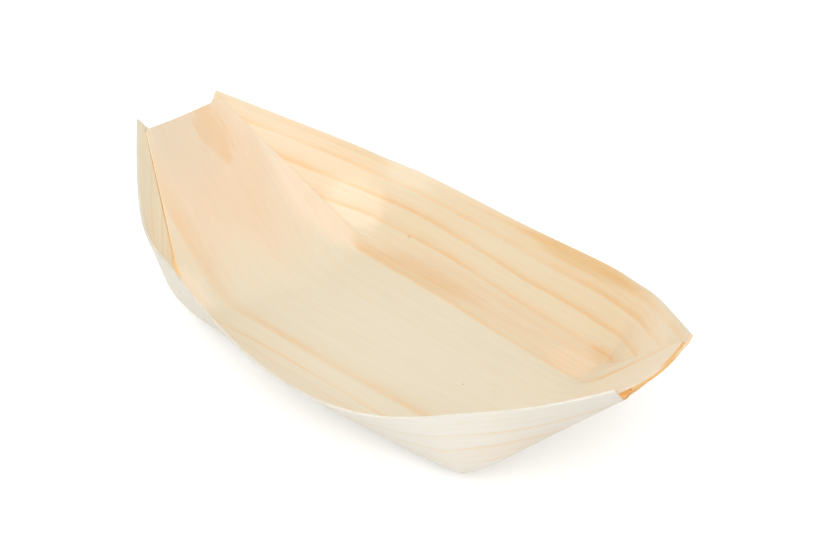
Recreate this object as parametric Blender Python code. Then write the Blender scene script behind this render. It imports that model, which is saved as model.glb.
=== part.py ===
"""Wooden snack boat: one folded pine veneer sheet and the glue dabs that hold it.

Two slits at each end of the sheet leave a middle tongue, which is cut to a taper and
bends up as the end ramp.  The side walls lean out along the floor, run on past the ramp
and turn in at a crease, and their flaps cross behind the ramp, where a dab of glue joins
the ramp to the inner flap and another joins the two flaps.  The inner flap is cut level
with the ramp's top edge, and the outer flap is cut back a little below it.

X runs along the boat, +X to the right end.  +Y is the far wall and +Z is up.
Sizes are in millimetres and degrees, and the model is written in metres.
"""
import math
from dataclasses import dataclass

import bmesh
import bpy
from mathutils import Vector

MM = 0.001
UP = Vector((0.0, 0.0, 1.0))

# The flat sheet
VENEER = 0.5
SHEET_LENGTH = 160.0
FLOOR_WIDTH = 48.9
WALL_SLANT = 19.0

# The bend from floor to wall
FLOOR_BEND = 9.1
SLIT_BEND = 3.9
NEAR_LEAN_MIDDLE = 44.7
FAR_LEAN_MIDDLE = 45.1
NEAR_LEAN_SHIFT = -14.0
FAR_LEAN_SHIFT = 0.9

# Where each slit lets the ramp fold up, measured from the middle of the sheet
NEAR_LEFT_FOLD = 38.9
NEAR_RIGHT_FOLD = 41.5
FAR_LEFT_FOLD = 36.4
FAR_RIGHT_FOLD = 34.8

# How steeply each wall stands where its slit starts
NEAR_LEFT_LEAN = 71.6
NEAR_RIGHT_LEAN = 68.2
FAR_LEFT_LEAN = 67.8
FAR_RIGHT_LEAN = 66.9

# Half the width between the creases at the top of each ramp
NEAR_LEFT_TOP = 9.3
NEAR_RIGHT_TOP = 10.1
FAR_LEFT_TOP = 10.2
FAR_RIGHT_TOP = 9.6

# From each corner of the sheet to the end of its crease
NEAR_LEFT_CREASE = 4.1
NEAR_RIGHT_CREASE = 4.2
FAR_LEFT_CREASE = 0.9
FAR_RIGHT_CREASE = 2.1

# The end ramps
LEFT_RAMP_ANGLE = 44.8
RIGHT_RAMP_ANGLE = 43.2
RAMP_BEND_EDGE = 1.0
RAMP_BEND_MIDDLE = 7.0
RAMP_SAG = 1.3

# The creases and the slits
CREASE_ANGLE = 35.0
CREASE_ROUND = 1.2
CORNER_BLUNT = 1.2
NEAR_LEFT_BLUNT = 2.2
CORNER_BLUNT_REACH = 10.0
SLIT_LEAD = 0.2
SLIT_END = 0.6
SLIT_TIP_GAP = 0.3
SLIT_GAP = 0.15
SLIT_BLEND = 12.0

# The flaps: how far the outer one is cut back, and how far short of the other crease both stop
FLAP_DROP = 6.0
FLAP_MARGIN = 3.5

# The glue, placed from the middle of the sheet
GLUE_THICKNESS = 0.08
GLUE_CLEARANCE = 0.04
GLUE_WIDTH = 4.6
GLUE_PLACE = 70.0

HALF_LENGTH = SHEET_LENGTH / 2
HALF_FLOOR = FLOOR_WIDTH / 2
LAYER = VENEER + GLUE_THICKNESS + 2 * GLUE_CLEARANCE
GLUE_START = GLUE_PLACE - GLUE_WIDTH / 2
LEFT, RIGHT = -1, 1
NEAR, FAR = -1, 1

# Mesh steps
FLOOR_STEPS = 14
BEND_STEPS = 3
FLAT_STEPS = 4
WALL_STEPS = 8
RAMP_STEPS = 4
FAN_STEPS = 8
FLAP_STEPS = 8
DAB_STEPS = 16


@dataclass(frozen=True)
class Corner:
    """One corner of the folded sheet, worked in a frame where its end is +X and its side +Y."""

    end: int
    side: int
    fold: float
    lean: float
    top: float
    crease: float
    outer: bool
    blunt: float = CORNER_BLUNT

    def layer(self, u):
        """Return how far behind the ramp the flap lies, where the ramp is at u."""
        if not self.outer:
            return LAYER
        return LAYER * (1 + max(u - self.fold, 0.0) / (GLUE_START - self.fold))


CORNERS = {
    (corner.end, corner.side): corner
    for corner in (
        Corner(LEFT, NEAR, NEAR_LEFT_FOLD, NEAR_LEFT_LEAN, NEAR_LEFT_TOP,
               NEAR_LEFT_CREASE, outer=True, blunt=NEAR_LEFT_BLUNT),
        Corner(LEFT, FAR, FAR_LEFT_FOLD, FAR_LEFT_LEAN, FAR_LEFT_TOP,
               FAR_LEFT_CREASE, outer=False),
        Corner(RIGHT, NEAR, NEAR_RIGHT_FOLD, NEAR_RIGHT_LEAN, NEAR_RIGHT_TOP,
               NEAR_RIGHT_CREASE, outer=True),
        Corner(RIGHT, FAR, FAR_RIGHT_FOLD, FAR_RIGHT_LEAN, FAR_RIGHT_TOP,
               FAR_RIGHT_CREASE, outer=False),
    )
}


class RampFrame:
    """The plane of a ramp, seen from one corner: its fold, its rise and its face."""

    def __init__(self, corner):
        other = CORNERS[(corner.end, -corner.side)]
        angle = LEFT_RAMP_ANGLE if corner.end == LEFT else RIGHT_RAMP_ANGLE
        self.angle = math.radians(angle)
        self.run = Vector((corner.fold - other.fold, FLOOR_WIDTH, 0.0)).normalized()
        self.out = Vector((self.run.y, -self.run.x, 0.0))
        self.rise = self.out * math.cos(self.angle) + UP * math.sin(self.angle)
        self.face = -self.out * math.sin(self.angle) + UP * math.cos(self.angle)
        self.along = self.rise * self.out.x + self.run * self.run.x
        self.over = self.rise * self.out.y + self.run * self.run.y
        self.middle = Vector(((corner.fold + other.fold) / 2, 0.0, 0.0))
        lean = math.radians(corner.lean)
        radius = 2 * SLIT_BEND / lean
        root = Vector((0.0, HALF_FLOOR - SLIT_BEND + radius * math.sin(lean / 2),
                       radius * (1 - math.cos(lean / 2))))
        self.slit = self.middle.x - root.dot(self.face) / self.face.x
        reach = LAYER / (math.sin(self.angle) * self.out.x)
        self.apex = Vector((self.slit + reach, root.y, root.z))
        top = self.on_ramp(HALF_LENGTH, corner.top) - self.face * corner.layer(HALF_LENGTH)
        self.crease = (top - self.apex).normalized()
        self.aside = (self.over - self.crease * self.over.dot(self.crease)).normalized()

    def flat_to_ramp(self, u, v):
        """Return how far a point of the flat sheet lies past the fold, and along it."""
        offset = Vector((u, v, 0.0)) - self.middle
        return offset.dot(self.out), offset.dot(self.run)

    def on_ramp(self, u, v):
        """Return the point of the ramp's plane that this point of the flat sheet goes to."""
        return self.middle + self.along * (u - self.middle.x) + self.over * v

    def from_ramp(self, point):
        """Return the flat sheet position of the ramp that lies above or below a point."""
        offset = point - self.middle
        return self.middle.x + offset.dot(self.along), offset.dot(self.over)


FRAMES = {key: RampFrame(corner) for key, corner in CORNERS.items()}


def placed(corner, point):
    """Return a point of the corner's own frame, in the boat's frame on the table."""
    return Vector((corner.end * point.x, corner.side * point.y, point.z + VENEER / 2))


def blunted(point):
    """Return a point of the boat's frame, pushed in and up where a slit corner is near."""
    for corner in CORNERS.values():
        apex = placed(corner, FRAMES[(corner.end, corner.side)].apex)
        nearness = 1 - (point - apex).length / CORNER_BLUNT_REACH
        if nearness > 0:
            way = Vector((-corner.end, -corner.side, 2.0)).normalized()
            return point + way * corner.blunt * nearness ** 2
    return point


def slit_tip(corner):
    """Return where this corner's slit starts, from the middle of the sheet."""
    frame = FRAMES[(corner.end, corner.side)]
    return frame.slit - RAMP_BEND_EDGE / frame.out.x - SLIT_LEAD


def wall_lean(corner, u):
    """Return the lean of the wall, in radians from flat, at this distance along it."""
    near = corner.side == NEAR
    middle = NEAR_LEAN_MIDDLE if near else FAR_LEAN_MIDDLE
    shift = NEAR_LEAN_SHIFT if near else FAR_LEAN_SHIFT
    share = min(u / FRAMES[(corner.end, corner.side)].apex.x, 1.0)
    lean = middle + (corner.lean - middle) * share ** 2
    return math.radians(lean + corner.end * shift * share * (1 - share ** 2))


def section(corner, u, past):
    """Return Y and Z of the sheet's middle surface across the bend from floor to wall.

    past is the distance along the sheet from the middle of the bend, out to the rim.
    """
    lean = wall_lean(corner, u)
    share = min(u / FRAMES[(corner.end, corner.side)].apex.x, 1.0)
    half = FLOOR_BEND + (SLIT_BEND - FLOOR_BEND) * share ** 2
    radius = 2 * half / lean
    if past <= -half:
        return HALF_FLOOR + past, 0.0
    if past < half:
        turn = lean * (past + half) / (2 * half)
        return HALF_FLOOR - half + radius * math.sin(turn), radius * (1 - math.cos(turn))
    rest = past - half
    y = HALF_FLOOR - half + radius * math.sin(lean) + rest * math.cos(lean)
    return y, radius * (1 - math.cos(lean)) + rest * math.sin(lean)


def rim_run(corner, u, steps=40):
    """Return how far along X the rim has come where the sheet has come u."""
    reached = 0.0
    last = section(corner, 0.0, WALL_SLANT)
    for step in range(1, steps + 1):
        here = section(corner, u * step / steps, WALL_SLANT)
        used = (here[0] - last[0]) ** 2 + (here[1] - last[1]) ** 2
        reached += math.sqrt(max((u / steps) ** 2 - used, 0.0))
        last = here
    return reached


def wall_column(corner, u, heights):
    """Return the points of the wall at u, in the corner's frame, one for each height."""
    behind = rim_run(corner, u) - u
    points = []
    for height in heights:
        y, z = section(corner, u, height)
        points.append(Vector((u + behind * height / WALL_SLANT, y, z)))
    return points


def ramp_half(corner, u):
    """Return how far from the middle of the sheet the crease lies at u, on the ramp."""
    share = (u - corner.fold) / (HALF_LENGTH - corner.fold)
    return HALF_FLOOR + (corner.top - HALF_FLOOR) * share


def sag_depth(end, u, v):
    """Return how far the ramp is bowed outward at this position of the sheet."""
    near = -ramp_half(CORNERS[(end, NEAR)], u)
    far = ramp_half(CORNERS[(end, FAR)], u)
    fold = FRAMES[(end, FAR)].middle.x
    rise = min(max((u - fold) / (HALF_LENGTH - fold), 0.0), 1.0)
    place = (v - near) / (far - near)
    return RAMP_SAG * rise * max(0.0, 4 * place * (1 - place))


def floor_point(end, u, v):
    """Return the point of the floor or ramp at sheet position u, v, mirrored to +X."""
    corner = CORNERS[(end, FAR if v >= 0 else NEAR)]
    y, z = section(corner, u, min(abs(v), HALF_FLOOR) - HALF_FLOOR)
    y = math.copysign(y + max(abs(v) - HALF_FLOOR, 0.0), v)
    frame = FRAMES[(end, FAR)]
    up_ramp, across = frame.flat_to_ramp(u, y)
    inward = max(0.0, 1 - (across / HALF_FLOOR) ** 2)
    reach = RAMP_BEND_EDGE + (RAMP_BEND_MIDDLE - RAMP_BEND_EDGE) * inward
    later = z / math.tan(frame.angle)
    past = up_ramp - later
    if past <= -reach:
        return Vector((u, y, z))
    point = frame.middle + frame.run * across + frame.out * later + UP * z
    if past >= reach:
        point += frame.rise * past
    else:
        radius = reach / math.tan(frame.angle / 2)
        turn = frame.angle * (past + reach) / (2 * reach)
        point += frame.out * (radius * math.sin(turn) - reach)
        point += UP * radius * (1 - math.cos(turn))
    return point - frame.face * sag_depth(end, u, y)


def ramp_edge(corner, u):
    """Return the sheet position across of the ramp's cut edge at u."""
    tip = slit_tip(corner)
    lean = math.radians(CREASE_ANGLE)
    reach = (corner.layer(u) - VENEER / 2) / math.tan(lean)
    reach -= VENEER / 2 / math.sin(lean) + SLIT_GAP
    share = min((u - tip) / SLIT_BLEND, 1.0)
    crease = min(ramp_half(corner, u), HALF_FLOOR)
    edge = crease - SLIT_TIP_GAP + (reach + SLIT_TIP_GAP) * share
    opened = min((u - tip) / SLIT_END, 1.0)
    return HALF_FLOOR + (edge - HALF_FLOOR) * opened


class WallFan:
    """The wall past the slit: a cone from the slit's end, the crease and the flap."""

    def __init__(self, corner):
        self.corner = corner
        self.frame = FRAMES[(corner.end, corner.side)]
        apex = self.frame.apex
        self.length = HALF_LENGTH - apex.x
        self.corner_turn = math.atan2(WALL_SLANT, self.length)
        self.crease_turn = math.atan2(WALL_SLANT - corner.crease, self.length)
        self.round_turn = CREASE_ROUND / self.length
        rim = wall_column(corner, apex.x, [WALL_SLANT])[0]
        before = wall_column(corner, apex.x - VENEER, [WALL_SLANT])[0]
        self.start = (rim - apex).normalized()
        travel = rim - before
        self.leave = (travel - self.start * travel.dot(self.start)).normalized()
        lean = math.radians(CREASE_ANGLE)
        self.arrive = -(self.frame.aside * math.cos(lean) + self.frame.face * math.sin(lean))
        self.root = self.frame.from_ramp(apex)
        self.level = HALF_LENGTH - FLAP_DROP if corner.outer else HALF_LENGTH
        other = CORNERS[(corner.end, -corner.side)]
        stop = self.frame.on_ramp(self.level, FLAP_MARGIN - ramp_half(other, self.level))
        free_edge = stop - self.frame.face * corner.layer(self.level) - apex
        along, aside = free_edge.dot(self.frame.crease), free_edge.dot(self.frame.aside)
        self.free_turn = self.crease_turn - math.atan2(-aside, along)

    def bulge(self, turn, share):
        """Return how far the bend at the wall's root stands off the fan's straight line."""
        crease = self.crease_turn + self.round_turn
        fade = max(0.0, (turn - crease) / (math.pi / 2 - crease)) ** 2
        height = WALL_SLANT * share
        root = wall_column(self.corner, self.frame.apex.x, [height])[0]
        return (root - self.frame.apex - self.start * height) * fade

    def sharp(self, turn):
        """Return the direction of the sheet from the apex, with a sharp crease."""
        if turn <= self.crease_turn:
            past = self.crease_turn - turn
            return self.frame.crease * math.cos(past) - self.frame.aside * math.sin(past)
        span = math.pi / 2 - self.crease_turn
        t = (math.pi / 2 - turn) / span
        way = self.start * (2 * t ** 3 - 3 * t ** 2 + 1)
        way += self.leave * span * (t ** 3 - 2 * t ** 2 + t)
        way += self.frame.crease * (3 * t ** 2 - 2 * t ** 3)
        way += self.arrive * span * (t ** 3 - t ** 2)
        return way.normalized()

    def direction(self, turn):
        """Return the direction of the sheet from the apex, with the crease rounded."""
        t = (self.crease_turn + self.round_turn - turn) / (2 * self.round_turn)
        if not 0 < t < 1:
            return self.sharp(turn)
        wall = self.sharp(self.crease_turn + self.round_turn)
        flap = self.sharp(self.crease_turn - self.round_turn)
        way = wall * (1 - t) ** 2 + self.frame.crease * 2 * t * (1 - t) + flap * t ** 2
        return way.normalized()

    def reach(self, turn):
        """Return how far the sheet goes from the apex to its cut edge at this turn."""
        if turn > self.corner_turn:
            return WALL_SLANT / math.sin(turn)
        square = self.length / math.cos(turn)
        if turn > self.crease_turn:
            return square
        level = (self.level - self.root[0]) / self.sharp(turn).dot(self.frame.along)
        return max(square, level)

    def free_edge(self, u):
        """Return how far across the ramp the flap's free edge lies, where the ramp is at u."""
        way = self.sharp(self.free_turn)
        slope = way.dot(self.frame.over) / way.dot(self.frame.along)
        return (self.root[1] + slope * (u - self.root[0])) * self.corner.side

    def point(self, turn, share):
        """Return the point at this turn, a share of the way from the apex to the cut edge."""
        point = self.frame.apex + self.direction(turn) * self.reach(turn) * share
        point += self.bulge(turn, share)
        if turn < self.crease_turn:
            u, v = self.frame.from_ramp(point)
            bow = sag_depth(self.corner.end, u, v * self.corner.side)
            point = point - self.frame.face * bow
        return point

    def turns(self):
        """Return the turns of the fan's columns, past the apex column."""
        first = self.crease_turn + self.round_turn
        whole = math.pi / 2 - self.corner_turn
        wall = [math.pi / 2 - whole * step / FAN_STEPS for step in range(1, FAN_STEPS + 1)]
        last = self.crease_turn - self.round_turn
        flap = [last + (self.free_turn - last) * step / FLAP_STEPS
                for step in range(1, FLAP_STEPS + 1)]
        rounding = [first, self.crease_turn, last]
        return [turn for turn in wall if turn > first] + rounding + flap


def spaced(start, stop, steps):
    """Return evenly spaced values from start to stop."""
    return [start + (stop - start) * step / steps for step in range(steps + 1)]


def wall_heights():
    """Return the row heights of a wall: close over the bend, then out to the rim."""
    bend = spaced(0.0, FLOOR_BEND, BEND_STEPS)
    return bend + spaced(FLOOR_BEND, WALL_SLANT, WALL_STEPS)[1:]


def floor_rows():
    """Return the rows across the floor, as shares of its half width."""
    flat = 1 - FLOOR_BEND / HALF_FLOOR
    rows = spaced(-1.0, -flat, BEND_STEPS)
    rows += spaced(-flat, flat, FLAT_STEPS)[1:]
    return rows + spaced(flat, 1.0, BEND_STEPS)[1:]


def ramp_stations(corner):
    """Return the sheet positions of a ramp's columns along one of its cut edges."""
    start = slit_tip(corner) + SLIT_END
    fold = FRAMES[(corner.end, corner.side)].slit
    stations = spaced(start, fold + RAMP_BEND_EDGE, 3)
    straight = corner.fold + RAMP_BEND_MIDDLE
    stations += [(stations[-1] + straight) / 2]
    return stations + spaced(straight, HALF_LENGTH, RAMP_STEPS)


class Sheet:
    """The middle surface of the folded sheet, as a mesh that is later given its thickness."""

    def __init__(self):
        self.mesh = bmesh.new()

    def vertex(self, point):
        """Add a point given in millimetres."""
        return self.mesh.verts.new(blunted(point) * MM)

    def quads(self, first, second, flip):
        """Join two columns of vertices by faces."""
        for row in range(len(first) - 1):
            ring = [first[row], first[row + 1], second[row + 1], second[row]]
            ring = [vert for place, vert in enumerate(ring) if vert not in ring[:place]]
            self.mesh.faces.new(ring[::-1] if flip else ring)

    def strip(self, columns, flip=False):
        """Join a row of columns."""
        for first, second in zip(columns, columns[1:]):
            self.quads(first, second, flip)


def floor_columns(sheet):
    """Add the floor between the slits, and return its columns from left to right."""
    columns = []
    for step in range(FLOOR_STEPS + 1):
        share = step / FLOOR_STEPS
        places = {}
        for side in (NEAR, FAR):
            left = -slit_tip(CORNERS[(LEFT, side)])
            places[side] = left + (slit_tip(CORNERS[(RIGHT, side)]) - left) * share
        column = []
        for row in floor_rows():
            u = places[NEAR] + (places[FAR] - places[NEAR]) * (row + 1) / 2
            end = RIGHT if u >= 0 else LEFT
            point = floor_point(end, abs(u), row * HALF_FLOOR)
            column.append(sheet.vertex(Vector((end * point.x, point.y, point.z + VENEER / 2))))
        columns.append((places, column))
    return columns


def ramp_columns(sheet, end, first):
    """Add one ramp's columns, going on from the floor's last column."""
    columns = [first]
    near, far = CORNERS[(end, NEAR)], CORNERS[(end, FAR)]
    for near_u, far_u in zip(ramp_stations(near), ramp_stations(far)):
        near_v, far_v = -ramp_edge(near, near_u), ramp_edge(far, far_u)
        column = []
        for row in floor_rows():
            share = (row + 1) / 2
            u = near_u + (far_u - near_u) * share
            v = near_v + (far_v - near_v) * share
            point = floor_point(end, u, v)
            column.append(sheet.vertex(Vector((end * point.x, point.y, point.z + VENEER / 2))))
        columns.append(column)
    return columns


def wall_columns(sheet, side, floor):
    """Add one wall with its two flaps, on the floor's own edge vertices."""
    heights = wall_heights()
    shares = [height / WALL_SLANT for height in heights]
    columns = []
    for places, column in floor:
        u = places[side]
        corner = CORNERS[(RIGHT if u >= 0 else LEFT, side)]
        points = wall_column(corner, abs(u), heights[1:])
        root = column[0] if side == NEAR else column[-1]
        columns.append([root] + [sheet.vertex(placed(corner, point)) for point in points])
    for end in (LEFT, RIGHT):
        corner = CORNERS[(end, side)]
        fan = WallFan(corner)
        added = []
        for u in spaced(slit_tip(corner), fan.frame.apex.x, 2)[1:]:
            points = wall_column(corner, u, heights)
            added.append([sheet.vertex(placed(corner, point)) for point in points])
        apex = added[-1][0]
        for turn in fan.turns():
            points = [fan.point(turn, share) for share in shares[1:]]
            added.append([apex] + [sheet.vertex(placed(corner, point)) for point in points])
        columns = added[::-1] + columns if end == LEFT else columns + added
    return columns


def coat(name, colour, roughness):
    """Return a plain material."""
    material = bpy.data.materials.new(name)
    material.use_nodes = True
    shader = material.node_tree.nodes["Principled BSDF"]
    shader.inputs["Base Color"].default_value = (*colour, 1.0)
    shader.inputs["Roughness"].default_value = roughness
    return material


def add_object(name, mesh, material):
    """Put a finished bmesh into the scene under its own name."""
    bmesh.ops.recalc_face_normals(mesh, faces=mesh.faces)
    data = bpy.data.meshes.new(name)
    mesh.to_mesh(data)
    mesh.free()
    piece = bpy.data.objects.new(name, data)
    piece.data.materials.append(material)
    bpy.context.scene.collection.objects.link(piece)
    return piece


def build_sheet(material):
    """Build the folded veneer sheet."""
    sheet = Sheet()
    floor = floor_columns(sheet)
    columns = [column for _, column in floor]
    sheet.strip(columns)
    sheet.strip(ramp_columns(sheet, LEFT, columns[0]), flip=True)
    sheet.strip(ramp_columns(sheet, RIGHT, columns[-1]))
    sheet.strip(wall_columns(sheet, FAR, floor))
    sheet.strip(wall_columns(sheet, NEAR, floor), flip=True)
    piece = add_object("veneer_sheet", sheet.mesh, material)
    thick = piece.modifiers.new("veneer", "SOLIDIFY")
    thick.thickness = VENEER * MM
    thick.offset = 0.0
    thick.use_even_offset = True
    thick.use_quality_normals = True


def build_dab(name, end, depth, material):
    """Build one dab of glue, as a thin pad that follows the bow of the ramp.

    It lies where the two flaps overlap.  depth is how far its near face lies behind the
    ramp's middle surface.
    """
    frame = FRAMES[(end, FAR)]
    fans = [WallFan(CORNERS[(end, side)]) for side in (NEAR, FAR)]
    middle = sum(fan.free_edge(GLUE_PLACE) for fan in fans) / 2
    mesh = bmesh.new()

    def spot(u, v, behind):
        point = frame.on_ramp(u, v) - frame.face * (behind + sag_depth(end, u, v))
        return mesh.verts.new(placed(CORNERS[(end, FAR)], point) * MM)

    faces = []
    for behind in (depth, depth + GLUE_THICKNESS):
        ring = []
        for step in range(DAB_STEPS):
            angle = 2 * math.pi * step / DAB_STEPS
            u = GLUE_PLACE + GLUE_WIDTH / 2 * math.cos(angle)
            ring.append(spot(u, middle + GLUE_WIDTH / 2 * math.sin(angle), behind))
        faces.append((spot(GLUE_PLACE, middle, behind), ring))
    for step in range(DAB_STEPS):
        after = (step + 1) % DAB_STEPS
        for centre, ring in faces:
            mesh.faces.new([centre, ring[step], ring[after]])
        mesh.faces.new([faces[0][1][step], faces[1][1][step],
                        faces[1][1][after], faces[0][1][after]])
    add_object(name, mesh, material)


def main():
    """Build the boat from an empty scene."""
    for piece in list(bpy.data.objects):
        bpy.data.objects.remove(piece, do_unlink=True)
    build_sheet(coat("pine_veneer", (0.84, 0.69, 0.47), 0.6))
    first_face = VENEER / 2 + GLUE_CLEARANCE
    for end, word in ((LEFT, "left"), (RIGHT, "right")):
        glue = coat(f"{word}_glue", (0.80, 0.62, 0.36), 0.35)
        build_dab(f"{word}_ramp_glue", end, first_face, glue)
        glue = coat(f"{word}_outer_glue", (0.80, 0.62, 0.36), 0.35)
        build_dab(f"{word}_flap_glue", end, first_face + LAYER, glue)


main()
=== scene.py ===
"""Looks of the wooden snack boat: one slit sheet of pine veneer, folded up and glued.

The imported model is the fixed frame.  Its four dabs of glue stay, with a finish of their own.
Its plain sheet is replaced by a finer one that is folded by the same rule.  There the turn from
each wall to its end is softer, and the slits and the ends of the flaps are pressed nearly shut.
The sheet carries its flat positions as its UV map, and has a finish for the inside, the outside
and the cut edge.

X runs along the boat, +X to the right end.  +Y is the far wall and +Z is up.
Sizes are in millimetres and degrees, and meshes are written in metres.
"""
import logging
import math
from dataclasses import dataclass, field
from enum import Enum
from typing import Dict, Iterable, List, Sequence, Tuple, Union

import bpy
from mathutils import Matrix, Vector

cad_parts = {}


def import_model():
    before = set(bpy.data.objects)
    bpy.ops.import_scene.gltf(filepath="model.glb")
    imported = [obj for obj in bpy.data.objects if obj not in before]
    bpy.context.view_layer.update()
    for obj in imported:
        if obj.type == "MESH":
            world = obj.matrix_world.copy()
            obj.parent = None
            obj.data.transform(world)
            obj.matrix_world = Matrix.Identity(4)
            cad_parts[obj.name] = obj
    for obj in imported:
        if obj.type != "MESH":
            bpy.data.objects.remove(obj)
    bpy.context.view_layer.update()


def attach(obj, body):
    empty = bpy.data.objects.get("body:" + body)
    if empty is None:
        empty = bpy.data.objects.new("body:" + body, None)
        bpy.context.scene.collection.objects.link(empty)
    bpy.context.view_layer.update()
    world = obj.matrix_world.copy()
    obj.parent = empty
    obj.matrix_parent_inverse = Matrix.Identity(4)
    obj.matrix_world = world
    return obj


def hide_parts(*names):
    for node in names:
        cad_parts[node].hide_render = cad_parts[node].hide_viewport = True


MM = 0.001
UP = Vector((0.0, 0.0, 1.0))
IMAGE_WIDTH = 832
LOG = logging.getLogger("snack_boat")

Colour = Tuple[float, float, float]
Flat = Tuple[float, float]
Column = Tuple[List[Vector], List[Flat]]
Input = Union[float, Colour, bpy.types.NodeSocket]


class End(Enum):
    """The two ends of the boat, by the sign of X."""

    LEFT = -1
    RIGHT = 1


class Side(Enum):
    """The two long sides of the boat, by the sign of Y."""

    NEAR = -1
    FAR = 1


class Layer(Enum):
    """Which of the two flaps behind a ramp one is: the one against the ramp or the outer one."""

    INNER = 1
    OUTER = 2


class Face(Enum):
    """The material slots of the veneer sheet."""

    INSIDE = 0
    OUTSIDE = 1
    CUT = 2


@dataclass(frozen=True)
class Corner:
    """One corner of the folded sheet, worked in a frame where its end is +X and its side +Y.

    Attributes:
        end: The end that it is at.
        side: The side that it is on.
        fold: How far along the sheet the fold of the ramp meets the line of the slit.
        lean: The lean of the wall from flat, where the wall passes into its fan.
        top: How far from the middle line the crease comes at the top of the ramp.
        crease: How far below the rim the crease meets the end of the sheet.
        layer: Which of the two flaps behind the ramp is its own.
        blunt: How far its point is pushed in and up.
    """

    end: End
    side: Side
    fold: float
    lean: float
    top: float
    crease: float
    layer: Layer
    blunt: float = 1.2

    def placed(self, point: Vector) -> Vector:
        """Return a point of the corner's own frame in the boat's frame."""
        return Vector((self.end.value * point.x, self.side.value * point.y, point.z))

    def flat(self, u: float, v: float) -> Flat:
        """Return a flat position of the corner's own frame on the whole sheet."""
        return self.end.value * u, self.side.value * v


@dataclass(frozen=True)
class SheetSizes:
    """The sizes of the flat sheet and of its folds."""

    veneer: float = 0.5
    length: float = 160.0
    floor_width: float = 48.9
    wall_slant: float = 19.0
    floor_bend: float = 9.1
    slit_bend: float = 3.9
    near_lean_middle: float = 44.7
    far_lean_middle: float = 45.1
    near_lean_shift: float = -14.0
    far_lean_shift: float = 0.9
    left_ramp_angle: float = 44.8
    right_ramp_angle: float = 43.2
    ramp_bend_edge: float = 1.0
    ramp_bend_middle: float = 7.0
    ramp_sag: float = 1.3
    crease_angle: float = 35.0
    crease_round: float = 1.2
    corner_blunt_reach: float = 10.0
    corner_blunt_rise: float = 2.0
    slit_lead: float = 0.2
    slit_end: float = 0.6
    slit_tip_gap: float = 0.05
    slit_gap: float = 0.04
    slit_blend: float = 12.0
    flap_drop: float = 6.0
    flap_margin: float = 3.5
    layer_step: float = 0.66
    glue_start: float = 67.7
    pinch_start: float = 74.0
    end_gap: float = 0.02

    @property
    def half_length(self) -> float:
        """Return half the length of the sheet."""
        return self.length / 2

    @property
    def half_floor(self) -> float:
        """Return half the width between the slits."""
        return self.floor_width / 2

    @property
    def half_width(self) -> float:
        """Return half the width of the flat sheet."""
        return self.half_floor + self.wall_slant

    def layer(self, corner: Corner, u: float) -> float:
        """Return how far behind the ramp a flap lies.

        Args:
            corner: The corner that the flap belongs to.
            u: The position of the ramp along the sheet.

        Returns:
            The distance between the middle surfaces.
        """
        if corner.layer is Layer.INNER:
            return self.layer_step
        climb = max(u - corner.fold, 0.0) / (self.glue_start - corner.fold)
        return self.layer_step * (1 + climb)

    def pinch(self, u: float) -> float:
        """Return how much closer to the ramp a flap is pressed past the glue, at u."""
        past = (u - self.pinch_start) / (self.half_length - self.pinch_start)
        return (self.layer_step - self.veneer - self.end_gap) * min(max(past, 0.0), 1.0)


CORNERS = (
    Corner(End.LEFT, Side.NEAR, fold=38.9, lean=71.6, top=9.3, crease=4.1, layer=Layer.OUTER, blunt=2.2),
    Corner(End.LEFT, Side.FAR, fold=36.4, lean=67.8, top=10.2, crease=0.9, layer=Layer.INNER),
    Corner(End.RIGHT, Side.NEAR, fold=41.5, lean=68.2, top=10.1, crease=4.2, layer=Layer.OUTER),
    Corner(End.RIGHT, Side.FAR, fold=34.8, lean=66.9, top=9.6, crease=2.1, layer=Layer.INNER),
)


class RampPlane:
    """The plane of a ramp, seen from one corner: its fold, its rise and its face."""

    def __init__(self, sizes: SheetSizes, corner: Corner, other: Corner) -> None:
        """Work out the plane.

        Args:
            sizes: The sizes of the sheet.
            corner: The corner that the plane is seen from.
            other: The other corner at the same end.
        """
        left = corner.end is End.LEFT
        self.angle = math.radians(sizes.left_ramp_angle if left else sizes.right_ramp_angle)
        self.run = Vector((corner.fold - other.fold, sizes.floor_width, 0.0)).normalized()
        self.out = Vector((self.run.y, -self.run.x, 0.0))
        self.rise = self.out * math.cos(self.angle) + UP * math.sin(self.angle)
        self.face = -self.out * math.sin(self.angle) + UP * math.cos(self.angle)
        self.along = self.rise * self.out.x + self.run * self.run.x
        self.over = self.rise * self.out.y + self.run * self.run.y
        self.middle = Vector(((corner.fold + other.fold) / 2, 0.0, 0.0))
        lean = math.radians(corner.lean)
        radius = 2 * sizes.slit_bend / lean
        across = sizes.half_floor - sizes.slit_bend + radius * math.sin(lean / 2)
        root = Vector((0.0, across, radius * (1 - math.cos(lean / 2))))
        self.slit = self.middle.x - root.dot(self.face) / self.face.x
        reach = sizes.layer_step / (math.sin(self.angle) * self.out.x)
        self.apex = Vector((self.slit + reach, root.y, root.z))
        self.tip = self.slit - sizes.ramp_bend_edge / self.out.x - sizes.slit_lead
        end = sizes.half_length
        top = self.on_ramp(end, corner.top) - self.face * sizes.layer(corner, end)
        self.crease = (top - self.apex).normalized()
        self.aside = (self.over - self.crease * self.over.dot(self.crease)).normalized()

    def past_fold(self, u: float, v: float) -> Flat:
        """Return how far a flat position lies past the fold, and along it."""
        offset = Vector((u, v, 0.0)) - self.middle
        return offset.dot(self.out), offset.dot(self.run)

    def on_ramp(self, u: float, v: float) -> Vector:
        """Return the point of the plane that a flat position goes to."""
        return self.middle + self.along * (u - self.middle.x) + self.over * v

    def from_ramp(self, point: Vector) -> Flat:
        """Return the flat position of the ramp that lies above or below a point."""
        offset = point - self.middle
        return self.middle.x + offset.dot(self.along), offset.dot(self.over)


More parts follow.
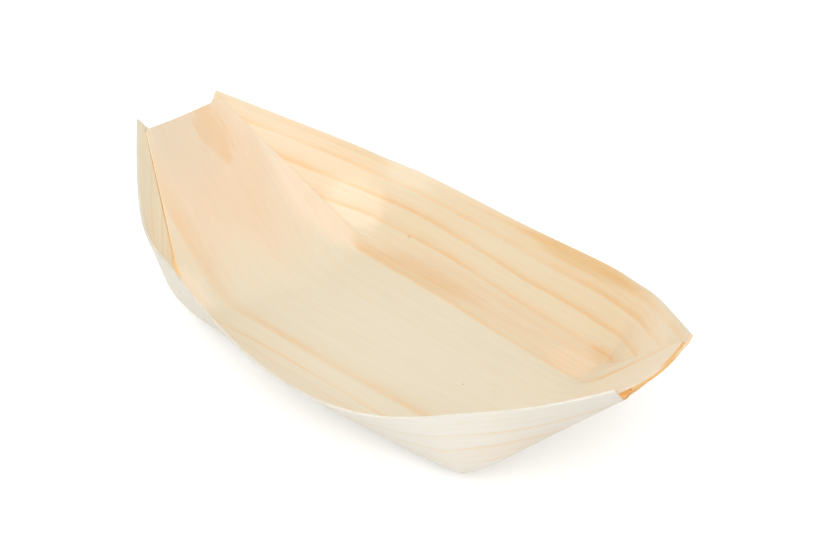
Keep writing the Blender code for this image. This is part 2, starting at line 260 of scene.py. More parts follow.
class Fold:
    """The rule that carries the flat sheet to its folded shape."""

    def __init__(self, sizes: SheetSizes, corners: Iterable[Corner]) -> None:
        """Keep the sizes and set up one ramp plane for each corner.

        Args:
            sizes: The sizes of the sheet.
            corners: The four corners of the sheet.
        """
        self.sizes = sizes
        self.corners = {(corner.end, corner.side): corner for corner in corners}
        self.planes: Dict[Tuple[End, Side], RampPlane] = {}
        for (end, side), corner in self.corners.items():
            other = self.corners[(end, Side(-side.value))]
            self.planes[(end, side)] = RampPlane(sizes, corner, other)

    def plane(self, corner: Corner) -> RampPlane:
        """Return the ramp plane seen from this corner."""
        return self.planes[(corner.end, corner.side)]

    def blunted(self, point: Vector) -> Vector:
        """Return a point of the boat, pushed in and up where a slit corner is near.

        Args:
            point: A point of the boat's frame.

        Returns:
            The moved point.
        """
        rise = self.sizes.corner_blunt_rise
        for corner in self.corners.values():
            apex = corner.placed(self.plane(corner).apex)
            nearness = 1 - (point - apex).length / self.sizes.corner_blunt_reach
            if nearness > 0:
                way = Vector((-corner.end.value, -corner.side.value, rise)).normalized()
                return point + way * corner.blunt * nearness ** 2
        return point

    def wall_lean(self, corner: Corner, u: float) -> float:
        """Return the lean of the wall from flat at this distance along it.

        Args:
            corner: The corner whose half of the wall is asked for.
            u: The distance along the sheet from its middle.

        Returns:
            The lean in radians.
        """
        near = corner.side is Side.NEAR
        middle = self.sizes.near_lean_middle if near else self.sizes.far_lean_middle
        shift = self.sizes.near_lean_shift if near else self.sizes.far_lean_shift
        share = min(u / self.plane(corner).apex.x, 1.0)
        lean = middle + (corner.lean - middle) * share ** 2
        return math.radians(lean + corner.end.value * shift * share * (1 - share ** 2))

    def section(self, corner: Corner, u: float, past: float) -> Tuple[float, float]:
        """Return Y and Z of the middle surface across the bend from floor to wall.

        Args:
            corner: The corner whose quarter of the sheet is asked for.
            u: The distance along the sheet from its middle.
            past: The distance along the sheet from the middle of the bend, out to the rim.

        Returns:
            Y and Z in the corner's frame.
        """
        sizes = self.sizes
        lean = self.wall_lean(corner, u)
        share = min(u / self.plane(corner).apex.x, 1.0)
        half = sizes.floor_bend + (sizes.slit_bend - sizes.floor_bend) * share ** 2
        radius = 2 * half / lean
        if past <= -half:
            return sizes.half_floor + past, 0.0
        start = sizes.half_floor - half
        if past < half:
            turn = lean * (past + half) / (2 * half)
            return start + radius * math.sin(turn), radius * (1 - math.cos(turn))
        rest = past - half
        y = start + radius * math.sin(lean) + rest * math.cos(lean)
        return y, radius * (1 - math.cos(lean)) + rest * math.sin(lean)

    def rim_run(self, corner: Corner, u: float, steps: int = 40) -> float:
        """Return how far along X the rim has come where the sheet has come u.

        Args:
            corner: The corner whose half of the rim is followed.
            u: The distance along the sheet from its middle.
            steps: How many straight steps the rim is followed in.

        Returns:
            The distance along X.
        """
        slant = self.sizes.wall_slant
        reached = 0.0
        last = self.section(corner, 0.0, slant)
        for step in range(1, steps + 1):
            here = self.section(corner, u * step / steps, slant)
            used = (here[0] - last[0]) ** 2 + (here[1] - last[1]) ** 2
            reached += math.sqrt(max((u / steps) ** 2 - used, 0.0))
            last = here
        return reached

    def wall_column(self, corner: Corner, u: float, heights: Sequence[float]) -> List[Vector]:
        """Return the points of the wall at u, one for each height.

        Args:
            corner: The corner whose half of the wall is asked for.
            u: The distance along the sheet from its middle.
            heights: Distances along the sheet from the middle of the bend.

        Returns:
            Points in the corner's frame.
        """
        behind = self.rim_run(corner, u) - u
        points = []
        for height in heights:
            y, z = self.section(corner, u, height)
            points.append(Vector((u + behind * height / self.sizes.wall_slant, y, z)))
        return points

    def ramp_half(self, corner: Corner, u: float) -> float:
        """Return how far from the middle of the sheet the crease lies at u, on the ramp."""
        share = (u - corner.fold) / (self.sizes.half_length - corner.fold)
        return self.sizes.half_floor + (corner.top - self.sizes.half_floor) * share

    def sag(self, end: End, u: float, v: float) -> float:
        """Return how far the ramp is bowed outward.

        Args:
            end: The end that the ramp is at.
            u: The distance along the sheet from its middle.
            v: The signed distance across the sheet.

        Returns:
            The depth of the bow.
        """
        near = -self.ramp_half(self.corners[(end, Side.NEAR)], u)
        far = self.ramp_half(self.corners[(end, Side.FAR)], u)
        start = self.planes[(end, Side.FAR)].middle.x
        rise = min(max((u - start) / (self.sizes.half_length - start), 0.0), 1.0)
        place = (v - near) / (far - near)
        return self.sizes.ramp_sag * rise * max(0.0, 4 * place * (1 - place))

    def floor_point(self, end: End, u: float, v: float) -> Vector:
        """Return the folded place of a point of the floor or of a ramp.

        Args:
            end: The end that the point is nearer to.
            u: The distance along the sheet from its middle.
            v: The signed distance across the sheet.

        Returns:
            The point, with X counted toward the end.
        """
        sizes = self.sizes
        corner = self.corners[(end, Side.FAR if v >= 0 else Side.NEAR)]
        y, z = self.section(corner, u, min(abs(v), sizes.half_floor) - sizes.half_floor)
        y = math.copysign(y + max(abs(v) - sizes.half_floor, 0.0), v)
        plane = self.planes[(end, Side.FAR)]
        up_ramp, along = plane.past_fold(u, y)
        inward = max(0.0, 1 - (along / sizes.half_floor) ** 2)
        reach = sizes.ramp_bend_edge + (sizes.ramp_bend_middle - sizes.ramp_bend_edge) * inward
        later = z / math.tan(plane.angle)
        past = up_ramp - later
        if past <= -reach:
            return Vector((u, y, z))
        point = plane.middle + plane.run * along + plane.out * later + UP * z
        if past >= reach:
            point += plane.rise * past
        else:
            radius = reach / math.tan(plane.angle / 2)
            turn = plane.angle * (past + reach) / (2 * reach)
            point += plane.out * (radius * math.sin(turn) - reach)
            point += UP * radius * (1 - math.cos(turn))
        return point - plane.face * self.sag(end, u, y)

    def ramp_edge(self, corner: Corner, u: float) -> float:
        """Return the distance across the sheet of the ramp's cut edge at u.

        Args:
            corner: The corner that the edge starts from.
            u: The distance along the sheet from its middle.

        Returns:
            The distance from the middle line of the flat sheet.
        """
        sizes = self.sizes
        plane = self.plane(corner)
        lean = math.radians(sizes.crease_angle)
        reach = (sizes.layer(corner, u) - sizes.veneer / 2) / math.tan(lean)
        reach -= sizes.veneer / 2 / math.sin(lean) + sizes.slit_gap
        share = min((u - plane.tip) / sizes.slit_blend, 1.0)
        crease = min(self.ramp_half(corner, u), sizes.half_floor)
        edge = crease - sizes.slit_tip_gap + (reach + sizes.slit_tip_gap) * share
        opened = min((u - plane.tip) / sizes.slit_end, 1.0)
        return sizes.half_floor + (edge - sizes.half_floor) * opened


class WallFan:
    """The wall past a slit: a cone from the slit's end, the crease and the flap."""

    def __init__(self, fold: Fold, corner: Corner, shares: Sequence[float]) -> None:
        """Work out the fan.

        Args:
            fold: The rule of the whole sheet.
            corner: The corner that the fan belongs to.
            shares: The rows of the fan, as shares of the way from the apex to the cut edge.
        """
        sizes = fold.sizes
        self.fold = fold
        self.corner = corner
        self.shares = shares
        self.plane = fold.plane(corner)
        apex = self.plane.apex
        self.length = sizes.half_length - apex.x
        self.corner_turn = math.atan2(sizes.wall_slant, self.length)
        self.crease_turn = math.atan2(sizes.wall_slant - corner.crease, self.length)
        self.round_turn = sizes.crease_round / self.length
        rim = fold.wall_column(corner, apex.x, [sizes.wall_slant])[0]
        before = fold.wall_column(corner, apex.x - sizes.veneer, [sizes.wall_slant])[0]
        self.start = (rim - apex).normalized()
        travel = rim - before
        self.leave = (travel - self.start * travel.dot(self.start)).normalized()
        lean = math.radians(sizes.crease_angle)
        self.arrive = -(self.plane.aside * math.cos(lean) + self.plane.face * math.sin(lean))
        heights = [sizes.wall_slant * share for share in shares]
        root = fold.wall_column(corner, apex.x, heights)
        self.bulges = [at - apex - self.start * height for at, height in zip(root, heights)]
        self.root = self.plane.from_ramp(apex)[0]
        drop = sizes.flap_drop if corner.layer is Layer.OUTER else 0.0
        self.level = sizes.half_length - drop
        self.free_turn = self.crease_turn - self.flap_turn()

    def flap_turn(self) -> float:
        """Return the angle between the crease and the flap's free edge, in radians."""
        sizes = self.fold.sizes
        other = self.fold.corners[(self.corner.end, Side(-self.corner.side.value))]
        across = sizes.flap_margin - self.fold.ramp_half(other, self.level)
        stop = self.plane.on_ramp(self.level, across)
        stop -= self.plane.face * sizes.layer(self.corner, self.level)
        free_edge = stop - self.plane.apex
        return math.atan2(-free_edge.dot(self.plane.aside), free_edge.dot(self.plane.crease))

    def sharp(self, turn: float) -> Vector:
        """Return the direction of the sheet from the apex, with a sharp crease.

        Args:
            turn: The angle on the flat sheet from the line of the slit, in radians.

        Returns:
            A unit vector in the corner's frame.
        """
        if turn <= self.crease_turn:
            past = self.crease_turn - turn
            return self.plane.crease * math.cos(past) - self.plane.aside * math.sin(past)
        span = math.pi / 2 - self.crease_turn
        t = (math.pi / 2 - turn) / span
        way = self.start * (2 * t ** 3 - 3 * t ** 2 + 1)
        way += self.leave * span * (t ** 3 - 2 * t ** 2 + t)
        way += self.plane.crease * (3 * t ** 2 - 2 * t ** 3)
        way += self.arrive * span * (t ** 3 - t ** 2)
        return way.normalized()

    def direction(self, turn: float) -> Vector:
        """Return the direction of the sheet from the apex, with the crease rounded.

        Args:
            turn: The angle on the flat sheet from the line of the slit, in radians.

        Returns:
            A unit vector in the corner's frame.
        """
        t = (self.crease_turn + self.round_turn - turn) / (2 * self.round_turn)
        if not 0 < t < 1:
            return self.sharp(turn)
        wall = self.sharp(self.crease_turn + self.round_turn)
        flap = self.sharp(self.crease_turn - self.round_turn)
        way = wall * (1 - t) ** 2 + self.plane.crease * 2 * t * (1 - t) + flap * t ** 2
        return way.normalized()

    def reach(self, turn: float) -> float:
        """Return how far the sheet goes from the apex to its cut edge.

        Args:
            turn: The angle on the flat sheet from the line of the slit, in radians.

        Returns:
            The distance.
        """
        if turn > self.corner_turn:
            return self.fold.sizes.wall_slant / math.sin(turn)
        square = self.length / math.cos(turn)
        if turn > self.crease_turn:
            return square
        level = (self.level - self.root) / self.sharp(turn).dot(self.plane.along)
        return max(square, level)

    def column(self, turn: float) -> Column:
        """Return one column of the fan.

        Args:
            turn: The angle on the flat sheet from the line of the slit, in radians.

        Returns:
            The points of the boat's frame and their flat positions, apex first.
        """
        crease = self.crease_turn + self.round_turn
        fade = max(0.0, (turn - crease) / (math.pi / 2 - crease)) ** 2
        apex, way, reach = self.plane.apex, self.direction(turn), self.reach(turn)
        points, flats = [], []
        for share, bulge in zip(self.shares, self.bulges):
            point = apex + way * reach * share + bulge * fade
            if turn < self.crease_turn:
                u, v = self.plane.from_ramp(point)
                bow = self.fold.sag(self.corner.end, u, v * self.corner.side.value)
                point = point - self.plane.face * (bow - self.fold.sizes.pinch(u))
            points.append(self.corner.placed(point))
            u = apex.x + math.cos(turn) * reach * share
            v = self.fold.sizes.half_floor + math.sin(turn) * reach * share
            flats.append(self.corner.flat(u, v))
        return points, flats

    def turns(self, wall_steps: int, round_steps: int, flap_steps: int) -> List[float]:
        """Return the turns of the fan's columns, past the apex column.

        Args:
            wall_steps: Columns from the apex column to the corner of the sheet.
            round_steps: Columns across the rounded crease.
            flap_steps: Columns across the flap.

        Returns:
            Turns in radians, from the wall to the slit.
        """
        first = self.crease_turn + self.round_turn
        last = self.crease_turn - self.round_turn
        wall = spaced(math.pi / 2, self.corner_turn, wall_steps)[1:]
        flap = spaced(last, self.free_turn, flap_steps)[1:]
        return [turn for turn in wall if turn > first] + spaced(first, last, round_steps) + flap


def spaced(start: float, stop: float, steps: int) -> List[float]:
    """Return evenly spaced values from start to stop."""
    return [start + (stop - start) * step / steps for step in range(steps + 1)]


def select_only(pieces: Sequence[bpy.types.Object]) -> None:
    """Select these pieces and nothing else, and make the first one active."""
    bpy.ops.object.select_all(action="DESELECT")
    for piece in pieces:
        piece.select_set(True)
    bpy.context.view_layer.objects.active = pieces[0]


@dataclass
class Panel:
    """A patch of the sheet as columns of points, each with its flat position."""

    name: str
    points: List[List[Vector]] = field(default_factory=list)
    flats: List[List[Flat]] = field(default_factory=list)

    def add(self, points: List[Vector], flats: List[Flat]) -> None:
        """Add one column."""
        self.points.append(points)
        self.flats.append(flats)

    def built(self, fold: Fold) -> bpy.types.Object:
        """Fold a grid of as many columns and rows into this panel.

        Args:
            fold: The rule that gives the sizes of the sheet.

        Returns:
            The panel, with its flat positions in its UV map.
        """
        sizes = fold.sizes
        across, up = len(self.points) - 1, len(self.points[0]) - 1
        bpy.ops.object.select_all(action="DESELECT")
        bpy.ops.mesh.primitive_grid_add(x_subdivisions=across, y_subdivisions=up, size=1.0)
        piece = bpy.context.object
        piece.name = self.name
        mesh = piece.data
        places = []
        for vertex in mesh.vertices:
            column = round((vertex.co.x + 0.5) * across)
            row = round((vertex.co.y + 0.5) * up)
            places.append((column, row))
            raised = fold.blunted(self.points[column][row]) + UP * sizes.veneer / 2
            vertex.co = raised * MM
        sheet_map = mesh.uv_layers.active
        sheet_map.name = VeneerSheet.MAP
        for loop in mesh.loops:
            column, row = places[loop.vertex_index]
            u, v = self.flats[column][row]
            sheet_map.data[loop.index].uv = (0.5 + u / sizes.length, 0.5 + v / 2 / sizes.half_width)
        return piece


@dataclass
class VeneerSheet:
    """The folded sheet of veneer with its ramps, walls and flaps."""

    MAP = "flat_sheet"
    THICKNESS = "veneer"

    fold: Fold
    floor_steps: int = 90
    row_steps: int = 64
    slit_steps: int = 2
    lead_steps: int = 4
    ramp_steps: int = 44
    wall_rows: int = 26
    row_spread: float = 0.4
    fan_steps: int = 40
    round_steps: int = 8
    flap_steps: int = 24
    ease_reach: int = 9
    ease_passes: int = 12
    ease_rows: int = 5
    merge_distance: float = 0.001
    smooth_angle: float = 35.0

    def shares(self) -> List[float]:
        """Return the rows of a wall as shares of its slant, closer at the bend."""
        spread = self.row_spread
        return [share * (1 - spread + spread * share) for share in spaced(0.0, 1.0, self.wall_rows)]

    def places(self, side: Side) -> List[float]:
        """Return the positions along the sheet of the columns between the slits."""
        left = self.fold.planes[(End.LEFT, side)].tip
        right = self.fold.planes[(End.RIGHT, side)].tip
        return spaced(-left, right, self.floor_steps)

    def ramp_places(self, corner: Corner) -> List[float]:
        """Return the positions along the sheet of a ramp's columns, on one of its edges."""
        sizes = self.fold.sizes
        plane = self.fold.plane(corner)
        start = plane.tip + sizes.slit_end
        straight = plane.slit + sizes.ramp_bend_edge
        opening = spaced(plane.tip, start, self.slit_steps)[1:]
        lead = spaced(start, straight, self.lead_steps)[1:]
        return opening + lead + spaced(straight, sizes.half_length, self.ramp_steps)[1:]

    def floor_panel(self) -> Panel:
        """Return the floor with both ramps, from left to right."""
        fold = self.fold
        rows = spaced(0.0, 1.0, self.row_steps)
        edge = fold.sizes.half_floor
        near, far = self.places(Side.NEAR), self.places(Side.FAR)
        lines = [((a, -edge), (b, edge)) for a, b in zip(near, far)]
        for end in End:
            ramp = []
            corners = [fold.corners[(end, side)] for side in (Side.NEAR, Side.FAR)]
            for near_u, far_u in zip(*(self.ramp_places(corner) for corner in corners)):
                near_v, far_v = fold.ramp_edge(corners[0], near_u), fold.ramp_edge(corners[1], far_u)
                ramp.append(((end.value * near_u, -near_v), (end.value * far_u, far_v)))
            lines = ramp[::-1] + lines if end is End.LEFT else lines + ramp
        panel = Panel("floor_and_ramps")
        for start, stop in lines:
            flats = [(start[0] + (stop[0] - start[0]) * row, start[1] + (stop[1] - start[1]) * row)
                     for row in rows]
            points = []
            for u, v in flats:
                end = End.RIGHT if u >= 0 else End.LEFT
                point = fold.floor_point(end, abs(u), v)
                points.append(Vector((end.value * point.x, point.y, point.z)))
            panel.add(points, flats)
        return panel

    def wall_panel(self, side: Side) -> Panel:
        """Return one wall with its two flaps.

        Args:
            side: The side that the wall is on.

        Returns:
            The panel, with columns ordered so that its faces look into the boat.
        """
        fold, sizes = self.fold, self.fold.sizes
        shares = self.shares()
        heights = [sizes.wall_slant * share for share in shares]
        columns = []
        for place in self.places(side):
            corner = fold.corners[(End.RIGHT if place >= 0 else End.LEFT, side)]
            columns.append(self.wall_line(corner, abs(place), heights))
        joints = []
        for end in End:
            corner = fold.corners[(end, side)]
            plane = fold.plane(corner)
            added = [self.wall_line(corner, u, heights)
                     for u in spaced(plane.tip, plane.apex.x, self.lead_steps)[1:]]
            fan = WallFan(fold, corner, shares)
            turns = fan.turns(self.fan_steps, self.round_steps, self.flap_steps)
            added += [fan.column(turn) for turn in turns]
            if end is End.LEFT:
                columns = added[::-1] + columns
                joints.append(len(turns))
            else:
                columns = columns + added
                joints.append(len(columns) - len(turns) - 1)
        for joint in joints:
            self.ease([points for points, _ in columns], joint)
        panel = Panel(f"{side.name.lower()}_wall")
        for points, flats in columns if side is Side.FAR else columns[::-1]:
            panel.add(points, flats)
        return panel

    def ease(self, columns: Sequence[List[Vector]], joint: int) -> None:
        """Round the turn from a wall to its fan, which leaves the bend's own row as it is.

        Args:
            columns: The points of the wall, column by column, which are moved.
            joint: The column where the fan starts.
        """
        places = range(joint - self.ease_reach, joint + self.ease_reach + 1)
        for _ in range(self.ease_passes):
            for row in range(1, len(columns[joint])):
                line = [column[row] for column in columns]
                for place in places:
                    share = abs(place - joint) / (self.ease_reach + 1)
                    weight = (1 - share ** 2) * min(row / self.ease_rows, 1.0)
                    middle = (line[place - 1] + line[place + 1]) / 2
                    columns[place][row] = line[place].lerp(middle, weight)

    def wall_line(self, corner: Corner, u: float, heights: Sequence[float]) -> Column:
        """Return one column of a wall before its fan.

        Args:
            corner: The corner whose half of the wall is built.
            u: The distance along the sheet from its middle.
            heights: Distances along the sheet from the middle of the bend.

        Returns:
            The points of the boat's frame and their flat positions, root first.
        """
        points = [corner.placed(point) for point in self.fold.wall_column(corner, u, heights)]
        root = self.fold.sizes.half_floor
        return points, [corner.flat(u, root + height) for height in heights]

    def build(self) -> bpy.types.Object:
        """Fold the panels, join them and give the sheet its thickness.

        Returns:
            The finished sheet.
        """
        panels = [self.floor_panel()] + [self.wall_panel(side) for side in Side]
        pieces = [panel.built(self.fold) for panel in panels]
        select_only(pieces)
        bpy.ops.object.join()
        sheet = bpy.context.object
        sheet.name = "folded_sheet"
        bpy.ops.object.mode_set(mode="EDIT")
        bpy.ops.mesh.select_all(action="SELECT")
        bpy.ops.mesh.remove_doubles(threshold=self.merge_distance * MM)
        bpy.ops.object.mode_set(mode="OBJECT")
        thick = sheet.modifiers.new(self.THICKNESS, "SOLIDIFY")
        thick.thickness = self.fold.sizes.veneer * MM
        thick.offset = 0.0
        thick.use_even_offset = True
        thick.use_quality_normals = True
        thick.material_offset = Face.OUTSIDE.value
        thick.material_offset_rim = Face.CUT.value
        return sheet

    def dress(self, sheet: bpy.types.Object, finishes: Dict[Face, bpy.types.Material]) -> None:
        """Give the sheet its finishes and make its thickness final.

        Args:
            sheet: The joined sheet.
            finishes: One material for each slot.
        """
        for face in Face:
            sheet.data.materials.append(finishes[face])
        select_only([sheet])
        bpy.ops.object.modifier_apply(modifier=self.THICKNESS)
        bpy.ops.object.shade_smooth_by_angle(angle=math.radians(self.smooth_angle))
        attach(sheet, "root")
        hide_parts("veneer_sheet")


@dataclass(frozen=True)
class Span:
    """A smooth change of a value: low up to its start, high from its stop on."""

    NOISE_LOW = 0.3
    NOISE_HIGH = 0.7

    start: float
    stop: float
    low: float = 0.0
    high: float = 1.0

    @classmethod
    def of_noise(cls, low: float, high: float) -> "Span":
        """Return a change over the levels that a noise mostly takes."""
        return cls(cls.NOISE_LOW, cls.NOISE_HIGH, low, high)


@dataclass(frozen=True)
class Texture:
    """A noise on the flat sheet, with features of one length along the sheet and one across it."""

    along: float
    across: float
    seed: float
    detail: float
    roughness: float = 0.5


class Graph:
    """A material's node tree, with short ways to add the nodes that the finishes use."""

    SHINE = 0.3

    def __init__(self, name: str) -> None:
        """Start a material that holds only its shader and its output."""
        self.material = bpy.data.materials.new(name)
        self.material.use_nodes = True
        self.nodes = self.material.node_tree.nodes
        self.links = self.material.node_tree.links
        self.shader = self.nodes["Principled BSDF"]

    def put(self, socket: bpy.types.NodeSocket, value: Input) -> None:
        """Link a socket into this one, or set it to a constant."""
        if isinstance(value, bpy.types.NodeSocket):
            self.links.new(value, socket)
        else:
            socket.default_value = value

    def maths(self, operation: str, first: Input, second: Input = 0.0) -> bpy.types.NodeSocket:
        """Return the result of one operation.

        Args:
            operation: The name of the operation.
            first: The first value.
            second: The second value, where the operation has one.

        Returns:
            The node's output.
        """
        node = self.nodes.new("ShaderNodeMath")
        node.operation = operation
        self.put(node.inputs[0], first)
        self.put(node.inputs[1], second)
        return node.outputs[0]

    def times(self, first: Input, second: Input) -> bpy.types.NodeSocket:
        """Return the product of two values."""
        return self.maths("MULTIPLY", first, second)

    def plus(self, first: Input, second: Input) -> bpy.types.NodeSocket:
        """Return the sum of two values."""
        return self.maths("ADD", first, second)

    def minus(self, first: Input, second: Input) -> bpy.types.NodeSocket:
        """Return the first value less the second."""
        return self.maths("SUBTRACT", first, second)

    def unsigned(self, value: Input) -> bpy.types.NodeSocket:
        """Return a value without its sign."""
        return self.maths("ABSOLUTE", value)

    def ramped(self, value: Input, span: Span) -> bpy.types.NodeSocket:
        """Return what a span makes of a value.

        Args:
            value: The value that runs along the span.
            span: The change.

        Returns:
            The node's output, between the low and the high of the span.
        """
        node = self.nodes.new("ShaderNodeMapRange")
        node.interpolation_type = "SMOOTHSTEP"
        self.put(node.inputs["Value"], value)
        self.put(node.inputs["From Min"], span.start)
        self.put(node.inputs["From Max"], span.stop)
        self.put(node.inputs["To Min"], span.low)
        self.put(node.inputs["To Max"], span.high)
        return node.outputs["Result"]

    def curve(self, value: Input, low: float, high: float, points: Sequence[Flat]) -> bpy.types.NodeSocket:
        """Return a value read off a smooth curve.

        Args:
            value: The value that is looked up.
            low: A bound below the results of the curve's points.
            high: A bound above them.
            points: The curve as pairs of value and result, in rising order of value.

        Returns:
            The node's output.
        """
        first, last = points[0][0], points[-1][0]
        share = self.nodes.new("ShaderNodeMapRange")
        self.put(share.inputs["Value"], value)
        self.put(share.inputs["From Min"], first)
        self.put(share.inputs["From Max"], last)
        node = self.nodes.new("ShaderNodeFloatCurve")
        line = node.mapping.curves[0]
        for _ in range(len(points) - 2):
            line.points.new(0.5, 0.5)
        for point, (place, result) in zip(line.points, points):
            point.location = ((place - first) / (last - first), (result - low) / (high - low))
        node.mapping.update()
        self.put(node.inputs["Value"], share.outputs["Result"])
        return self.plus(self.times(node.outputs["Value"], high - low), low)

    def joined(self, x: Input, y: Input, z: Input = 0.0) -> bpy.types.NodeSocket:
        """Return a vector made of three values."""
        node = self.nodes.new("ShaderNodeCombineXYZ")
        for socket, value in zip(node.inputs, (x, y, z)):
            self.put(socket, value)
        return node.outputs["Vector"]

    def noise(self, vector: Input, detail: float, roughness: float) -> bpy.types.NodeSocket:
        """Return noise around 0.5, with features about as large as one unit of the vector."""
        node = self.nodes.new("ShaderNodeTexNoise")
        self.put(node.inputs["Vector"], vector)
        self.put(node.inputs["Scale"], 1.0)
        self.put(node.inputs["Detail"], detail)
        self.put(node.inputs["Roughness"], roughness)
        return node.outputs["Fac"]

    def mixed(self, factor: Input, first: Input, second: Input, blend: str = "MIX") -> bpy.types.NodeSocket:
        """Return two colours mixed by a factor.

        Args:
            factor: How much of the second colour is used.
            first: The colour below.
            second: The colour above.
            blend: The way they are blended.

        Returns:
            The node's colour.
        """
        node = self.nodes.new("ShaderNodeMix")
        node.data_type = "RGBA"
        node.blend_type = blend
        colours = [socket for socket in node.inputs if socket.type == "RGBA"]
        self.put(node.inputs["Factor"], factor)
        for socket, colour in zip(colours, (first, second)):
            self.put(socket, colour if isinstance(colour, bpy.types.NodeSocket) else (*colour, 1.0))
        return next(socket for socket in node.outputs if socket.type == "RGBA")

    def tinted(self, colour: Input, tint: Input, factor: Input = 1.0) -> bpy.types.NodeSocket:
        """Return a colour multiplied by a tint, as far as a factor says."""
        return self.mixed(factor, colour, tint, "MULTIPLY")

    def bump(self, height: Input, strength: float, depth: float) -> bpy.types.NodeSocket:
        """Return a normal that is tilted by a height of a given depth."""
        node = self.nodes.new("ShaderNodeBump")
        self.put(node.inputs["Height"], height)
        self.put(node.inputs["Strength"], strength)
        self.put(node.inputs["Distance"], depth * MM)
        return node.outputs["Normal"]

    def shade(self, colour: Input, roughness: Input, normal: bpy.types.NodeSocket) -> bpy.types.Material:
        """Connect the shader and return the material."""
        self.put(self.shader.inputs["Base Color"], colour)
        self.put(self.shader.inputs["Roughness"], roughness)
        self.put(self.shader.inputs["Normal"], normal)
        self.put(self.shader.inputs["Specular IOR Level"], self.SHINE)
        return self.material

    def painted_glow(self, colour: Colour, strength: Input) -> None:
        """Paint light into the surface as emission, which stands in for light that comes through the thin
        wood from its other side.

        Args:
            colour: The colour of the light.
            strength: How strong it is.
        """
        self.put(self.shader.inputs["Emission Color"], (*colour, 1.0))
        self.put(self.shader.inputs["Emission Strength"], strength)


@dataclass(frozen=True)
class Band:
    """A line of latewood along the sheet, crisp on its near side and fading out on its far side."""

    HALO = 0.4
    HALO_REACH = 3

    place: float
    crisp: float
    fade: float
    strength: float

    def onset(self) -> Span:
        """Return how the line sets in."""
        return Span(self.place - self.crisp, self.place)

    def core(self) -> Span:
        """Return how the line itself fades out."""
        return Span(self.place, self.place + self.fade, self.strength * (1 - self.HALO), 0.0)

    def halo(self) -> Span:
        """Return how the wider stain around the line fades out."""
        return Span(self.place, self.place + self.HALO_REACH * self.fade, self.strength * self.HALO, 0.0)

    def thinned(self, share: float, gain: float) -> "Band":
        """Return the same line, narrower by a share and stronger by a gain."""
        return Band(self.place, self.crisp * share, self.fade * share, self.strength * gain)


@dataclass(frozen=True)
class Blotch:
    """A soft patch of another tint on the sheet; some patches are stains of the wood, others are painted
    light or shade.
    """

    OUTLINE_SHARES = (0.6, 0.5)
    OUTLINE_DETAIL = 3.0
    OUTLINE_ROUGHNESS = 0.55

    place: Flat
    size: Flat
    tint: Colour
    strength: float
    softness: float = 0.5
    wobble: float = 0.4

    def outline(self) -> Texture:
        """Return the noise that makes its outline uneven."""
        along, across = (size * share for size, share in zip(self.size, self.OUTLINE_SHARES))
        return Texture(along, across, self.place[0], self.OUTLINE_DETAIL, self.OUTLINE_ROUGHNESS)

    def fade(self) -> Span:
        """Return how it fades out with the distance from its middle, in units of its size."""
        return Span(1 - self.softness, 1 + self.softness, self.strength, 0.0)


BANDS = (
    Band(42.2, 0.8, 1.3, 0.50),
    Band(40.7, 0.4, 0.6, 0.20),
    Band(39.2, 0.6, 1.2, 0.75),
    Band(37.6, 0.5, 0.8, 0.15),
    Band(34.8, 0.5, 1.2, 0.80),
    Band(33.3, 0.4, 0.7, 0.14),
    Band(29.9, 0.5, 1.2, 0.85),
    Band(27.6, 0.5, 1.2, 0.20),
    Band(25.4, 0.3, 0.5, 0.25),
    Band(24.4, 0.3, 0.4, 0.16),
    Band(22.9, 0.4, 0.8, 0.30),
    Band(21.2, 1.1, 1.6, 0.75),
    Band(15.6, 0.5, 1.2, 0.08),
    Band(12.6, 0.5, 1.0, 0.10),
    Band(8.0, 0.7, 2.0, 0.12),
    Band(4.4, 0.5, 1.0, 0.06),
    Band(-3.2, 0.6, 1.5, 0.07),
    Band(-7.4, 0.6, 1.4, 0.10),
    Band(-15.2, 1.4, 2.2, 0.60),
    Band(-18.4, 0.4, 0.7, 0.12),
    Band(-21.6, 0.7, 1.1, 0.55),
    Band(-24.3, 0.4, 0.6, 0.12),
    Band(-26.6, 0.6, 1.0, 0.42),
    Band(-29.4, 0.5, 1.0, 0.36),
    Band(-31.6, 0.4, 0.7, 0.16),
    Band(-34.0, 0.5, 1.1, 0.45),
    Band(-36.3, 0.4, 0.6, 0.16),
    Band(-38.4, 0.6, 1.2, 0.50),
    Band(-40.6, 0.3, 0.5, 0.22),
    Band(-42.0, 0.3, 0.5, 0.26),
)

# The outside of the near wall, which shows most, has lines of its own.  The rest follows the inside.
NEAR_WALL_EDGE = -25.0
OUTSIDE_THINNING = 0.5
OUTSIDE_GAIN = 1.5
NEAR_OUTSIDE_BANDS = (
    Band(-26.8, 0.2, 0.4, 0.35),
    Band(-30.9, 0.25, 0.5, 0.75),
    Band(-32.6, 0.2, 0.35, 0.25),
    Band(-35.1, 0.25, 0.55, 0.85),
    Band(-36.7, 0.2, 0.3, 0.28),
    Band(-38.8, 0.3, 0.6, 0.90),
    Band(-40.4, 0.2, 0.3, 0.25),
    Band(-41.6, 0.15, 0.25, 0.35),
)
OUTSIDE_BANDS = NEAR_OUTSIDE_BANDS + tuple(
    band.thinned(OUTSIDE_THINNING, OUTSIDE_GAIN) for band in BANDS if band.place > NEAR_WALL_EDGE
)

# A tint multiplies the colour of the wood below it. Some tints are painted light and shade rather than
# colours of the wood.
PINK: Colour = (1.0, 0.86, 0.78)
TAN: Colour = (0.97, 0.82, 0.62)
HONEY: Colour = (0.97, 0.89, 0.80)
PALE: Colour = (1.02, 1.05, 1.10)
RESIN: Colour = (0.95, 0.66, 0.36)
# Painted warm light, which stands in for light through the thin wood and for bounced light.
PAINTED_WARM_LIGHT: Colour = (1.10, 1.01, 0.97)
# Painted highlight, for facets and rims that face the light.
PAINTED_HIGHLIGHT: Colour = (1.11, 1.12, 1.18)
